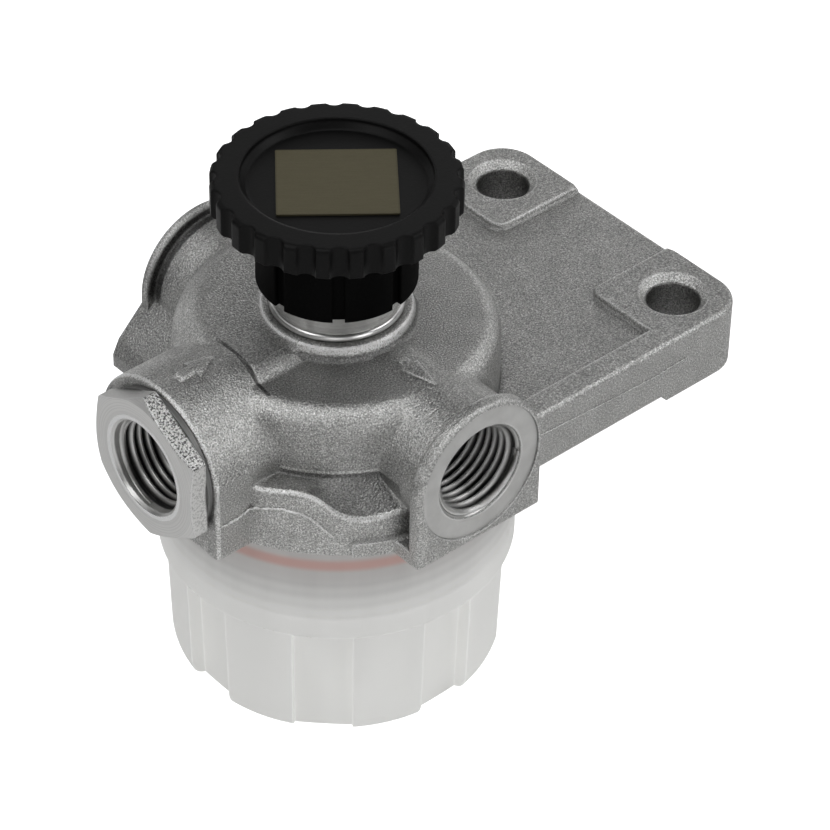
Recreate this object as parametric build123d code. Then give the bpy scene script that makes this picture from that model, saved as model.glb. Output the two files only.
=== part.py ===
from build123d import *
from math import atan2, cos, degrees, pi, radians, sin, sqrt, tan
import os

# Fuel feed pump: a cast head with three ports and a bolting plate, a hand pump under a
# pull knob, and a see-through filter bowl screwed to its underside.
# Sizes are in millimetres. Z is the common axis of pump and bowl and starts at the foot
# of the bowl. The plate points to +X, the inlet to -X, the outlet to -Y.

# Clearances
screw_gap = 0.05
slide_gap = 0.04
seal_gap = 0.1
rest_gap = 0.3
turn_gap = 0.4
cut_over = 1.0

# Filter bowl
bowl_height = 43.3
bowl_band_radius = 29.8
bowl_band_foot = 24.0
bowl_lobe_radius = 28.6
bowl_taper = 0.7
bowl_foot_round = 4.0
bowl_panels = 8
bowl_panel_depth = 3.1
bowl_panel_width = 9.8
bowl_wall = 2.0
bowl_floor = 3.0
bowl_floor_round = 2.0
bowl_thread_length = 9.6
bowl_seat_depth = 5.0
bowl_lead_in = 0.5

# Head casting
head_foot = bowl_height + rest_gap
port_height = 13.0
port_axis = head_foot + port_height
dome_radius = 26.4
dome_low_height = 24.0
dome_low_top = head_foot + dome_low_height
dome_low_round = 3.8
dome_high_height = 26.0
dome_high_top = head_foot + dome_high_height
dome_high_round = 6.0
ridge_half_width = 6.3
ridge_end = 20.8
ridge_slope_run = 2.6
collar_radius = 12.2
collar_height = 26.4
collar_flank = 0.8
collar_top = head_foot + collar_height
skirt_radius = 31.5
skirt_height = 5.0
spigot_radius = 26.4
spigot_wall = 4.2
spigot_length = 15.3
spigot_roof = 1.0

# Ports
boss_radius = 13.0
neck_radius = 11.5
rim_thickness = 2.2
port_reach = 35.05
inlet_reach = 35.5
inlet_boss_end = 20.3
inlet_crown_radius = 14.9
inlet_crown_shift = 1.5
inlet_crown_height = 26.0
port_bore_radius = 8.0
port_mouth_radius = 8.7
port_spot_radius = 12.1
port_spot_depth = 0.3
port_thread_depth = 14.0
port_foot_height = 2.5
valve_chamber_radius = 6.8
valve_chamber_depth = 4.0
valve_plenum_radius = 5.4
valve_plenum_depth = 1.5
outlet_passage_radius = 2.5

# Ledge beside the inlet and gusset behind it
ledge_inner_height = 11.5
ledge_high_edge = 12.2
ledge_low_edge = 6.8
ledge_start_angle = 200.0
ledge_bend_start_angle = 221.0
ledge_bend_end_angle = 234.0
ledge_end_angle = 256.0
ledge_level_angle = 8.0
ledge_overlap = 2.0
cast_round = 0.8
lip_rise = 0.6
lip_height = 2.7
gusset_width = 19.0
gusset_wall_height = 5.0
gusset_crown = 11.0
gusset_round = 1.3

# Bolting plate
plate_reach = 64.4
plate_half_width = 30.15
plate_lift = 1.6
plate_foot = head_foot + plate_lift
plate_thickness = 9.85
plate_top = plate_foot + plate_thickness
plate_corner_radius = 6.8
plate_edge_round = 0.9
plate_waist = 0.5
plate_waist_run = 1.5
pad_rise = 1.0
pad_drop = 1.4
pad_slope_angle = 24.0
pad_inner_x = 45.3
pad_inner_y = 10.9
pad_corner_radius = 2.5
rail_width = 5.0
bolt_x = 55.5
bolt_y = 21.05
bolt_hole_radius = 4.5
bolt_chamfer = 1.35

# Inlet adapter
adapter_hex_across = 24.0
adapter_hex_height = 3.1
adapter_hex_round = 0.9
adapter_hex_chamfer_angle = 22.0
adapter_seal_height = 1.0
adapter_seal_radius = 12.4
adapter_shank_radius = 10.0
adapter_shank_length = 13.5
adapter_mouth_radius = 8.5
adapter_thread_depth = 14.0

# Non-return valves
inlet_chamber_radius = 7.5
inlet_chamber_depth = 6.5
inlet_fall_radius = 3.0
valve_cap_radius = 5.9
valve_cap_height = 1.7
valve_lip = 0.5
valve_bead = 1.2
valve_plate = 1.5
valve_hole_radius = 1.2
valve_hole_ring_radius = 3.9
valve_holes_count = 6
valve_recess_radius = 5.6
valve_recess_depth = 1.4

# Hand pump
barrel_radius = 10.4
barrel_shank_radius = 9.4
barrel_floor_height = 6.4
barrel_foot = head_foot + barrel_floor_height
barrel_ring_foot = collar_top + rest_gap
barrel_guide_height = 16.2
barrel_top = barrel_ring_foot + barrel_guide_height
barrel_bore = 7.5
barrel_chamfer = 0.6
bush_height = 4.0
suction_radius = 3.5
piston_rest = 0.9
piston_foot = port_axis + outlet_passage_radius + piston_rest
piston_height = 6.0
nut_height = 1.0
nut_wall = 1.6
rod_shoulder = 1.0
rod_radius = 3.0
groove_depth = 1.6
ring_section = 1.8

# Knob
knob_radius = 19.9
knob_rim_height = 5.5
knob_edge_round = 0.8
knob_scallops = 24
scallop_radius = 1.75
scallop_depth = 1.15
recess_radius = 15.2
recess_depth = 1.6
recess_bevel = 1.0
knob_web = 3.4
knob_skirt_radius = 12.97
knob_skirt_wall = 2.2
knob_skirt_length = 14.1
knob_headroom = 3.1
knob_slots = 8
knob_slot_width = 1.9
knob_slot_depth = 0.9
knob_slot_drop = 3.0
knob_hub_radius = 6.2
insert_radius = 4.4
insert_depth = 2.4
label_width = 19.1
label_depth = 17.1
label_thickness = 0.3
facing_angle = 231.0

# Strainer
strainer_boss_radius = 9.0
strainer_boss_length = 10.6
cage_radius = 11.0
cage_collar_length = 8.8
cage_ribs = 6
cage_rib_width = 2.0
cage_rib_depth = 1.4
cage_hoops = 2
cage_floor_height = 2.5
mesh_thickness = 0.3
mesh_foot_gap = 0.5
mesh_lap = 2.0
seat_ring_wall = 1.8
seat_ring_height = 3.0

# Places that follow from the sizes above
spigot_foot = head_foot - spigot_length
roof_height = head_foot + spigot_roof
bowl_bore = spigot_radius + turn_gap
bowl_seal_bore = bowl_bore + slide_gap
seal_height = bowl_height - bowl_seat_depth
inlet_face = -inlet_reach
adapter_back = inlet_face - adapter_seal_height
adapter_face = adapter_back - adapter_hex_height
adapter_end = adapter_back + adapter_shank_length
outlet_shoulder = -(port_reach - port_thread_depth - valve_chamber_depth)
bush_foot = barrel_top - bush_height
piston_middle = piston_foot + (nut_height + piston_height) / 2
web_foot = barrel_top + knob_headroom
knob_floor = web_foot + knob_web
knob_top = knob_floor + recess_depth
knob_rim_foot = knob_top - knob_rim_height
knob_skirt_foot = web_foot - knob_skirt_length
hub_foot = barrel_top + rest_gap
insert_top = web_foot + insert_depth
rod_top = insert_top - rest_gap
boss_foot = head_foot - strainer_boss_length
cage_foot = bowl_floor + rest_gap
cage_collar_foot = boss_foot + rest_gap
cage_collar_top = cage_collar_foot + cage_collar_length
bowl_seal_inner = spigot_radius - groove_depth + slide_gap
bowl_seal_section = bowl_seal_bore - seal_gap - bowl_seal_inner


def turned(outline):
    """A solid turned about Z from (radius, height) points."""
    return revolve(Plane.XZ * make_face(Polyline(*outline, close=True)), Axis.Z)


def post(radius, foot, top):
    """An upright cylinder on the pump's axis."""
    return Pos(0, 0, (foot + top) / 2) * Cylinder(radius, top - foot)


def pipe(outer, inner, foot, top):
    """An upright tube on the pump's axis."""
    return post(outer, foot, top) - post(inner, foot, top)


def bar_x(radius, start, end):
    """A cylinder along X at the height of the ports."""
    return Pos((start + end) / 2, 0, port_axis) * Rot(0, 90, 0) * Cylinder(radius, end - start)


def bar_y(radius, start, end):
    """A cylinder along Y at the height of the ports."""
    return Pos(0, (start + end) / 2, port_axis) * Rot(90, 0, 0) * Cylinder(radius, end - start)


def along_x(solid, start):
    """A piece modelled about Z, laid along +X in the inlet."""
    return Pos(start, 0, port_axis) * Rot(0, 90, 0) * solid


def along_outlet(solid, start):
    """A piece modelled about Z, laid along -Y in the outlet."""
    return Pos(0, start, port_axis) * Rot(90, 0, 0) * solid


def block(x0, x1, y0, y1, z0, z1):
    """A box between two corners."""
    return Pos((x0 + x1) / 2, (y0 + y1) / 2, (z0 + z1) / 2) * Box(x1 - x0, y1 - y0, z1 - z0)


def seal_ring(height, groove_radius, section):
    """A round rubber ring that lies in a groove of the given radius."""
    centre = groove_radius + section / 2
    return Pos(0, 0, height) * Torus(centre, section / 2)


def arch(width, radius, shift, crown):
    """A face on the head's foot: a side at each end and a round crown between them.

    The left side stands at half the width, the right one where the shifted crown ends.
    """
    centre = crown - radius
    left = -width / 2
    left_top = centre + sqrt(radius ** 2 - (left - shift) ** 2)
    right = shift + radius
    top = ThreePointArc((left, left_top), (shift, crown), (right, centre))
    sides = Polyline((right, centre), (right, 0), (left, 0), (left, left_top))
    return make_face([top, sides])


def port_rim(start, end):
    """The outlet's rim along Y, round above and square below."""
    plane = Plane(origin=(0, end, head_foot), x_dir=(1, 0, 0), z_dir=(0, -1, 0))
    crown = port_height + boss_radius
    rim = extrude(plane * arch(2 * boss_radius, boss_radius, 0, crown), end - start)
    front = rim.edges().group_by(Axis.Y)[0].sort_by(Axis.Z)[1:]
    return fillet(front, cast_round)


def mouth_cone(mouth, bore):
    """A 45 degree countersink about Z whose wide end is at the origin and opens down."""
    return Pos(0, 0, (mouth - bore) / 2) * Cone(mouth, bore, mouth - bore)


def domed_cap(top, edge_round):
    """The round body of the head up to one level, with its soft upper edge."""
    cap = post(dome_radius, head_foot, top)
    return fillet(cap.edges().group_by(Axis.Z)[-1], edge_round)


def dome():
    """The low body with the raised quarter between the inlet and the spare port."""
    side = Polyline((-ridge_half_width, head_foot), (-ridge_half_width, dome_low_top),
                    (ridge_slope_run - ridge_half_width, dome_high_top),
                    (dome_radius, dome_high_top), (dome_radius, head_foot), close=True)
    plane = Plane(origin=(-dome_radius, 0, 0), x_dir=(0, 1, 0), z_dir=(1, 0, 0))
    raised = domed_cap(dome_high_top, dome_high_round)
    raised &= extrude(plane * make_face(side), dome_radius + ridge_half_width)
    raised -= block(-dome_radius, -ridge_end, -ridge_half_width, 0, head_foot, dome_high_top)
    foot = collar_radius + collar_flank
    collar = turned([(0, head_foot), (foot, head_foot), (foot, dome_low_top),
                     (collar_radius, collar_top), (0, collar_top)])
    collar = fillet(collar.edges().group_by(Axis.Z)[-1], cast_round)
    return domed_cap(dome_low_top, dome_low_round) + raised + collar


def port_boss():
    """The outlet's boss along -Y: a thick rim with a square foot, on a narrower neck."""
    back = -port_reach + rim_thickness
    rim = port_rim(-port_reach, back)
    neck = bar_y(neck_radius, back, -neck_radius)
    foot = block(-boss_radius, boss_radius, back, -neck_radius, head_foot,
                 head_foot + port_foot_height)
    return rim + neck + foot


def inlet_boss():
    """The inlet's plain boss along -X, square below, fuller on the side of the gusset."""
    plane = Plane(origin=(inlet_face, 0, head_foot), x_dir=(0, 1, 0), z_dir=(1, 0, 0))
    section = arch(2 * boss_radius, inlet_crown_radius, inlet_crown_shift, inlet_crown_height)
    boss = extrude(plane * section, inlet_reach - inlet_boss_end)
    front = boss.edges().group_by(Axis.X)[0].sort_by(Axis.Z)[1:]
    return fillet(front, cast_round)


def ledge_edge_height(angle):
    """Height of the ledge's outer edge above the head's foot at one angle."""
    share = (angle - ledge_bend_start_angle) / (ledge_bend_end_angle - ledge_bend_start_angle)
    share = min(max(share, 0.0), 1.0)
    swing = share * share * (3 - 2 * share)
    return ledge_high_edge + (ledge_low_edge - ledge_high_edge) * swing


def ledge():
    """The ledge between inlet and outlet, level on one side and falling on the other."""
    bend = ledge_bend_end_angle - ledge_bend_start_angle
    angles = [ledge_start_angle, ledge_bend_start_angle - ledge_level_angle, ledge_bend_start_angle]
    angles += [ledge_bend_start_angle + bend * step / 4 for step in (1, 2, 3)]
    angles += [ledge_bend_end_angle, ledge_bend_end_angle + ledge_level_angle, ledge_end_angle]

    def rail(radius):
        """The curve that the ledge's top follows at one radius."""
        points = []
        for angle in angles:
            edge = ledge_edge_height(angle)
            slope = (edge - ledge_inner_height) / (skirt_radius - dome_radius)
            height = head_foot + ledge_inner_height + slope * (radius - dome_radius)
            points.append((radius * cos(radians(angle)), radius * sin(radians(angle)), height))
        return Spline(*points)

    top = Face.make_surface_from_curves(rail(dome_radius - ledge_overlap),
                                        rail(skirt_radius + ledge_overlap))
    under = extrude(top, amount=2 * port_height, dir=(0, 0, -1))
    body = under & post(skirt_radius, head_foot, dome_low_top)
    brink = body.edges().filter_by(GeomType.BSPLINE).sort_by(SortBy.LENGTH)[-1]
    return fillet(brink, cast_round)


def lip():
    """The thicker lip under the low part of the ledge."""
    ring = pipe(skirt_radius + lip_rise, dome_radius, head_foot, head_foot + lip_height)
    start = radians(ledge_bend_end_angle)
    end = radians(ledge_end_angle)
    reach = 2 * skirt_radius
    wedge = make_face(Polyline((0, 0), (reach * cos(start), reach * sin(start)),
                               (reach * cos(end), reach * sin(end)), close=True))
    return ring & extrude(Plane.XY.offset(head_foot) * wedge, lip_height)


def gusset():
    """The sloping shoulder that fills the corner between the inlet and the spare port."""
    wall = gusset_wall_height
    outline = Polyline((0, 0), (gusset_round - gusset_width, 0), (-gusset_width, gusset_round),
                       (-gusset_width, wall - gusset_round),
                       (-gusset_width + gusset_round, wall + gusset_round),
                       (-gusset_crown, port_height), (0, port_height), close=True)
    end = Plane(origin=(0, 0, head_foot), x_dir=(1, 0, 0), z_dir=(0, -1, 0))
    return extrude(end * make_face(outline), -port_reach)


def plate_outline():
    """The plate's outline from the pump's axis to its rounded end, waisted between the pads."""
    outline = Pos(plate_reach / 2, 0) * Rectangle(plate_reach, 2 * plate_half_width)
    outline = fillet(outline.vertices().group_by(Axis.X)[-1], plate_corner_radius)
    edge = plate_reach - plate_waist
    out = pad_inner_y + plate_waist_run
    waist = Polyline((edge, -pad_inner_y), (edge, pad_inner_y), (plate_reach, out),
                     (plate_reach + plate_waist, out), (plate_reach + plate_waist, -out),
                     (plate_reach, -out), close=True)
    return outline - make_face(waist)


def raised_areas():
    """The two pads round the bolt holes, drawn well past the plate's edge."""
    over = plate_corner_radius
    width = plate_reach + over - pad_inner_x
    depth = plate_half_width + over - pad_inner_y
    centre_y = pad_inner_y + depth / 2
    pads = Sketch()
    for side in (-1, 1):
        pad = Pos(pad_inner_x + width / 2, side * centre_y) * Rectangle(width, depth)
        corner = pad.vertices().sort_by_distance((0, 0))[0]
        pads += fillet(corner, pad_corner_radius)
    return pads


def plate():
    """The bolting plate: raised pads with sloping flanks and strips along its long edges."""
    body = extrude(Plane.XY.offset(plate_foot) * plate_outline(), plate_thickness)
    room = extrude(Plane.XY.offset(plate_foot - pad_drop) * plate_outline(),
                   plate_thickness + pad_rise + pad_drop)
    above = extrude(Plane.XY.offset(plate_top) * raised_areas(), pad_rise, taper=pad_slope_angle)
    below = extrude(Plane.XY.offset(plate_foot) * raised_areas(), -pad_drop, taper=pad_slope_angle)
    over = plate_corner_radius
    rail_centre = plate_half_width - (rail_width - over) / 2
    length = pad_inner_x + over
    for side in (-1, 1):
        strip = Pos(length / 2, side * rail_centre) * Rectangle(length, rail_width + over)
        above += extrude(Plane.XY.offset(plate_top) * strip, pad_rise, taper=pad_slope_angle)
    body += (above + below) & room
    rims = body.edges().group_by(Axis.Z)[-1]
    rims = [edge for edge in rims if abs(edge.center().Y) > plate_half_width - plate_edge_round
            or edge.center().X > bolt_x + bolt_hole_radius]
    return fillet(rims, plate_edge_round)


def spigot():
    """The threaded collar that the bowl screws on, and the boss that the strainer slides on."""
    collar = pipe(spigot_radius, spigot_radius - spigot_wall, spigot_foot, roof_height)
    half = bowl_seal_section / 2 + slide_gap
    collar -= pipe(spigot_radius + cut_over, spigot_radius - groove_depth, seal_height - half,
                   seal_height + half)
    centre = post(strainer_boss_radius, boss_foot, roof_height)
    centre -= pipe(strainer_boss_radius + cut_over, strainer_boss_radius - groove_depth,
                   boss_foot + ring_section, boss_foot + 2 * ring_section)
    return collar + centre


def port_drilling():
    """The outlet's threaded hole, as wide as its thread, with countersink and spot face."""
    face = port_spot_depth - port_reach
    hole = bar_y(port_bore_radius, face, port_thread_depth - port_reach)
    cone = Pos(0, face, port_axis) * Rot(-90, 0, 0) * mouth_cone(port_mouth_radius,
                                                               port_bore_radius)
    return bar_y(port_spot_radius, -port_reach, face) + hole + cone


def pump_head():
    """The casting with all its drillings."""
    body = dome() + port_boss() + mirror(port_boss(), Plane.XZ) + inlet_boss()
    body += ledge() + lip() + gusset() + plate()
    body += post(skirt_radius, head_foot, head_foot + skirt_height)
    body -= post(spigot_radius - spigot_wall, spigot_foot, roof_height)
    body += spigot()
    body -= post(barrel_shank_radius + screw_gap, barrel_foot - rest_gap, collar_top)
    body -= post(suction_radius, boss_foot, barrel_foot)
    body -= port_drilling() + mirror(port_drilling(), Plane.XZ)
    body -= bar_y(valve_chamber_radius, -port_reach + port_thread_depth, outlet_shoulder)
    body -= bar_y(valve_plenum_radius, outlet_shoulder, outlet_shoulder + valve_plenum_depth)
    body -= bar_y(outlet_passage_radius, outlet_shoulder, 0)
    body -= bar_x(adapter_shank_radius + screw_gap, inlet_face, adapter_end + rest_gap)
    body -= bar_x(inlet_chamber_radius, adapter_end, adapter_end + inlet_chamber_depth)
    fall = Pos(adapter_end + inlet_chamber_depth / 2, 0, (spigot_foot + port_axis) / 2)
    body -= fall * Cylinder(inlet_fall_radius, port_axis - spigot_foot)
    for side in (-1, 1):
        top = plate_top + pad_rise
        hole = Pos(bolt_x, side * bolt_y, (plate_foot + top) / 2)
        body -= hole * Cylinder(bolt_hole_radius, top - plate_foot + 4 * pad_drop)
        sink = Pos(bolt_x, side * bolt_y, top - bolt_chamfer / 2)
        body -= sink * Cone(bolt_hole_radius, bolt_hole_radius + bolt_chamfer, bolt_chamfer)
    return body


def inlet_adapter():
    """The hexagon adapter: threaded hole at the outside, valve seat at the inside.

    The valve's bead lies in a recess at the end of the thread, clear of the pipe fitting.
    """
    half = adapter_hex_across / 2
    corner = half / cos(pi / 6)
    outline = RegularPolygon(corner, 6)
    outline = fillet(outline.vertices(), adapter_hex_round)
    prism = extrude(outline, adapter_hex_height)
    spread = adapter_hex_height / tan(radians(adapter_hex_chamfer_angle))
    prism &= Pos(0, 0, adapter_hex_height / 2) * Cone(half, half + spread, adapter_hex_height)
    shank = Pos(0, 0, adapter_hex_height + adapter_shank_length / 2)
    body = prism + shank * Cylinder(adapter_shank_radius, adapter_shank_length)
    body -= Pos(0, 0, adapter_thread_depth / 2) * Cylinder(port_bore_radius,
                                                           adapter_thread_depth)
    body -= mouth_cone(adapter_mouth_radius, port_bore_radius)
    body -= Pos(0, 0, adapter_thread_depth + valve_recess_depth / 2) * Cylinder(
        valve_recess_radius, valve_recess_depth)
    length = adapter_hex_height + adapter_shank_length
    web = length - adapter_thread_depth
    body -= [Pos(0, 0, adapter_thread_depth) * hole for hole in valve_holes(web)]
    return Pos(adapter_face, 0, port_axis) * Rot(0, 90, 0) * body


def adapter_seal():
    """The rubber washer squeezed under the hexagon."""
    washer = bar_x(adapter_seal_radius, adapter_back, inlet_face)
    return washer - bar_x(adapter_shank_radius + screw_gap, adapter_back, inlet_face)


def valve_holes(thickness):
    """The ring of flow holes about Z and the middle hole for the stem, with foot at z 0."""
    hole = Pos(0, 0, thickness / 2) * Cylinder(valve_hole_radius, thickness)
    ring = PolarLocations(valve_hole_ring_radius, valve_holes_count)
    return [hole] + [place * hole for place in ring]


def umbrella_valve(thickness):
    """A rubber mushroom valve about Z: its cap lies on the plate, its stem is held in it."""
    cap = turned([(0, 0), (valve_cap_radius, 0), (valve_cap_radius, valve_lip),
                  (valve_hole_radius, valve_cap_height), (0, valve_cap_height)])
    stem = valve_hole_radius - slide_gap
    tip = -thickness - valve_bead
    bead = turned([(0, tip), (stem, tip), (stem + valve_lip, -thickness - slide_gap),
                   (0, -thickness - slide_gap)])
    return cap + Pos(0, 0, tip / 2) * Cylinder(stem, -tip) + bead


def outlet_valve_plate():
    """The perforated washer that carries the outlet's valve."""
    body = Pos(0, 0, valve_plate / 2) * Cylinder(valve_chamber_radius - slide_gap, valve_plate)
    return along_outlet(body - valve_holes(valve_plate), outlet_shoulder)


def pump_barrel():
    """The turned barrel: a shank in the casting, the bright ring and the guide above it."""
    body = post(barrel_shank_radius, barrel_foot, barrel_ring_foot)
    guide = post(barrel_radius, barrel_ring_foot, barrel_top)
    body += chamfer(guide.edges().group_by(Axis.Z)[-1], barrel_chamfer)
    body -= post(barrel_bore, barrel_foot, barrel_top)
    groove = barrel_shank_radius - groove_depth / 2
    body -= pipe(barrel_shank_radius + cut_over, groove, barrel_ring_foot - ring_section,
                 barrel_ring_foot - ring_section / 2)
    return body - bar_y(outlet_passage_radius, -barrel_shank_radius - cut_over, 0)


def barrel_seal():
    """The rubber ring under the barrel's bright ring."""
    outer = barrel_shank_radius + screw_gap - seal_gap / 2
    groove = barrel_shank_radius - groove_depth / 2 + seal_gap / 2
    foot = barrel_ring_foot - ring_section + seal_gap / 2
    return pipe(outer, groove, foot, barrel_ring_foot - ring_section / 2 - seal_gap / 2)


def rod_bush():
    """The plastic guide in the barrel's mouth."""
    body = pipe(barrel_bore - slide_gap, rod_radius + slide_gap, bush_foot, barrel_top)
    return body - post(rod_radius + ring_section, barrel_top - ring_section, barrel_top)


def rod_seal():
    """The wiper ring on top of the guide."""
    foot = barrel_top - ring_section
    return pipe(rod_radius + ring_section - slide_gap, rod_radius + slide_gap, foot,
                barrel_top - seal_gap)


def piston():
    """The piston with its ring groove."""
    body = pipe(barrel_bore - seal_gap, rod_radius + slide_gap, piston_foot + nut_height,
                piston_foot + piston_height)
    return body - pipe(barrel_bore, barrel_bore - groove_depth,
                       piston_middle - ring_section / 2, piston_middle + ring_section / 2)


def piston_seal():
    """The rubber ring of the piston."""
    section = groove_depth - 2 * slide_gap
    return seal_ring(piston_middle, barrel_bore - groove_depth + slide_gap, section)


def piston_rod():
    """The rod from the piston to the knob, with a shoulder that the piston rests on."""
    body = post(rod_radius, piston_foot + nut_height, rod_top)
    shoulder = piston_foot + piston_height
    return body + post(rod_radius + rod_shoulder, shoulder, shoulder + rod_shoulder)


def piston_nut():
    """The thin nut that keeps the piston on the rod."""
    return post(rod_radius + nut_wall, piston_foot, piston_foot + nut_height)


def knob():
    """The pull knob: a scalloped rim, a dished top and a slotted skirt."""
    rim = post(knob_radius, knob_rim_foot, knob_top)
    rim = fillet(rim.edges().group_by(Axis.Z)[-1], knob_edge_round)
    rim = chamfer(rim.edges().group_by(Axis.Z)[0], knob_edge_round / 2)
    cutter = Cylinder(scallop_radius, 3 * knob_rim_height)
    reach = knob_radius + scallop_radius - scallop_depth
    turn = Rot(0, 0, facing_angle)
    for place in PolarLocations(reach, knob_scallops):
        rim -= Pos(0, 0, knob_top) * turn * place * cutter
    dish = turned([(0, knob_floor), (recess_radius - recess_bevel, knob_floor),
                   (recess_radius, knob_floor + recess_bevel),
                   (recess_radius, knob_top + cut_over), (0, knob_top + cut_over)])
    body = rim + post(knob_skirt_radius, knob_skirt_foot, knob_top - recess_depth)
    body -= dish
    inner = knob_skirt_radius - knob_skirt_wall
    body -= post(inner, knob_skirt_foot, web_foot)
    slot = block(knob_skirt_radius - knob_slot_depth, knob_skirt_radius + knob_slot_depth,
                 -knob_slot_width / 2, knob_slot_width / 2, knob_skirt_foot - knob_slot_drop,
                 knob_rim_foot - knob_slot_drop)
    for index in range(knob_slots):
        body -= Rot(0, 0, facing_angle + index * 360 / knob_slots) * slot
    body += post(knob_hub_radius, hub_foot, web_foot)
    return body - post(insert_radius, hub_foot, insert_top)


def knob_insert():
    """The brass nut moulded into the knob's hub."""
    return pipe(insert_radius, rod_radius, hub_foot, insert_top)


def knob_label():
    """The plain label plate in the knob's dish."""
    body = Box(label_width, label_depth, label_thickness)
    body = fillet(body.edges().filter_by(Axis.Z), label_thickness)
    turn = Rot(0, 0, facing_angle - 270)
    return Pos(0, 0, knob_floor + label_thickness / 2) * turn * body


def bowl_panel():
    """The tool that cuts one flat panel into the lobed body, leaning with its taper."""
    lean = degrees(atan2(bowl_taper, bowl_band_foot))
    depth = bowl_panel_depth + bowl_wall
    inner = bowl_lobe_radius - bowl_panel_depth
    tool = block(0, depth, -bowl_panel_width / 2, bowl_panel_width / 2,
                 -bowl_band_foot - depth, 0)
    return Pos(inner, 0, bowl_band_foot) * Rot(0, lean, 0) * tool


def filter_bowl():
    """The moulded bowl: a plain band above, lobes with flat panels between them below."""
    foot_radius = bowl_lobe_radius - bowl_taper
    body = Pos(0, 0, bowl_band_foot / 2) * Cone(foot_radius, bowl_lobe_radius, bowl_band_foot)
    body = fillet(body.edges().group_by(Axis.Z)[0], bowl_foot_round)
    for index in range(bowl_panels):
        body -= Rot(0, 0, index * 360 / bowl_panels) * bowl_panel()
    body += post(bowl_band_radius, bowl_band_foot, bowl_height)
    thread_foot = seal_height - ring_section - bowl_thread_length
    inner_top = bowl_lobe_radius - bowl_panel_depth - bowl_wall
    inner_foot = inner_top - bowl_taper
    seat_foot = seal_height - ring_section
    hollow = turned([(0, bowl_floor), (inner_foot - bowl_floor_round, bowl_floor),
                     (inner_foot, bowl_floor + bowl_floor_round),
                     (inner_top, thread_foot - (bowl_bore - inner_top)),
                     (bowl_bore, thread_foot), (bowl_bore, seat_foot),
                     (bowl_seal_bore, seat_foot + bowl_lead_in), (bowl_seal_bore, bowl_height),
                     (0, bowl_height)])
    body -= hollow
    ring = cage_radius + mesh_thickness + rest_gap
    return body + pipe(ring + seat_ring_wall, ring, bowl_floor, bowl_floor + seat_ring_height)


def bowl_seal():
    """The red rubber ring between the head's collar and the bowl."""
    return seal_ring(seal_height, bowl_seal_inner, bowl_seal_section)


def strainer_cage():
    """The strainer's frame: a collar that slides on the head, ribs, hoops and a floor."""
    body = pipe(cage_radius, strainer_boss_radius + seal_gap, cage_collar_foot, cage_collar_top)
    floor_top = cage_foot + cage_floor_height
    body += post(cage_radius, cage_foot, floor_top)
    rib = block(cage_radius - cage_rib_depth, cage_radius - slide_gap, -cage_rib_width / 2,
                cage_rib_width / 2, floor_top, cage_collar_foot)
    for index in range(cage_ribs):
        body += Rot(0, 0, index * 360 / cage_ribs) * rib
    span = cage_collar_foot - floor_top
    for index in range(cage_hoops):
        height = floor_top + span * (index + 1) / (cage_hoops + 1)
        body += pipe(cage_radius - slide_gap, cage_radius - cage_rib_depth,
                     height - cage_rib_width / 2, height + cage_rib_width / 2)
    return body


def strainer_mesh():
    """The mesh sleeve around the strainer's frame."""
    return pipe(cage_radius + slide_gap + mesh_thickness, cage_radius + slide_gap,
                cage_foot + mesh_foot_gap, cage_collar_foot + mesh_lap)


def strainer_seal():
    """The small ring that seals the strainer's collar to the head."""
    inner = strainer_boss_radius - groove_depth + slide_gap
    section = groove_depth
    return seal_ring(boss_foot + 1.5 * ring_section, inner, section)


def save(name, solid):
    """Write one piece under its own name."""
    solid.label = name
    export_step(solid, os.path.join("parts", name + ".step"))


def main():
    """Build every piece of the pump."""
    os.makedirs("parts", exist_ok=True)
    inlet_web = adapter_end - adapter_face - adapter_thread_depth - valve_recess_depth
    pieces = {
        "pump_head": pump_head(),
        "inlet_adapter": inlet_adapter(),
        "adapter_seal": adapter_seal(),
        "inlet_valve": along_x(umbrella_valve(inlet_web), adapter_end),
        "outlet_valve": along_outlet(umbrella_valve(valve_plate), outlet_shoulder - valve_plate),
        "outlet_valve_plate": outlet_valve_plate(),
        "pump_barrel": pump_barrel(),
        "barrel_seal": barrel_seal(),
        "rod_bush": rod_bush(),
        "rod_seal": rod_seal(),
        "piston": piston(),
        "piston_seal": piston_seal(),
        "piston_rod": piston_rod(),
        "piston_nut": piston_nut(),
        "knob": knob(),
        "knob_insert": knob_insert(),
        "knob_label": knob_label(),
        "filter_bowl": filter_bowl(),
        "bowl_seal": bowl_seal(),
        "strainer_cage": strainer_cage(),
        "strainer_mesh": strainer_mesh(),
        "strainer_seal": strainer_seal(),
    }
    for name, solid in pieces.items():
        save(name, solid)


main()
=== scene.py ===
"""Looks of the fuel feed pump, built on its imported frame.

Lengths are in millimetres in the size fields and in metres in the meshes. Z is the common
axis of the hand pump and the bowl, the plate points to +X, the inlet to -X, the outlet to -Y.
"""

import logging
import math
import random
from collections.abc import Callable, Mapping, Sequence
from dataclasses import dataclass, replace
from enum import Enum

import bpy
from mathutils import Matrix, Vector
from mathutils.bvhtree import BVHTree


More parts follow.
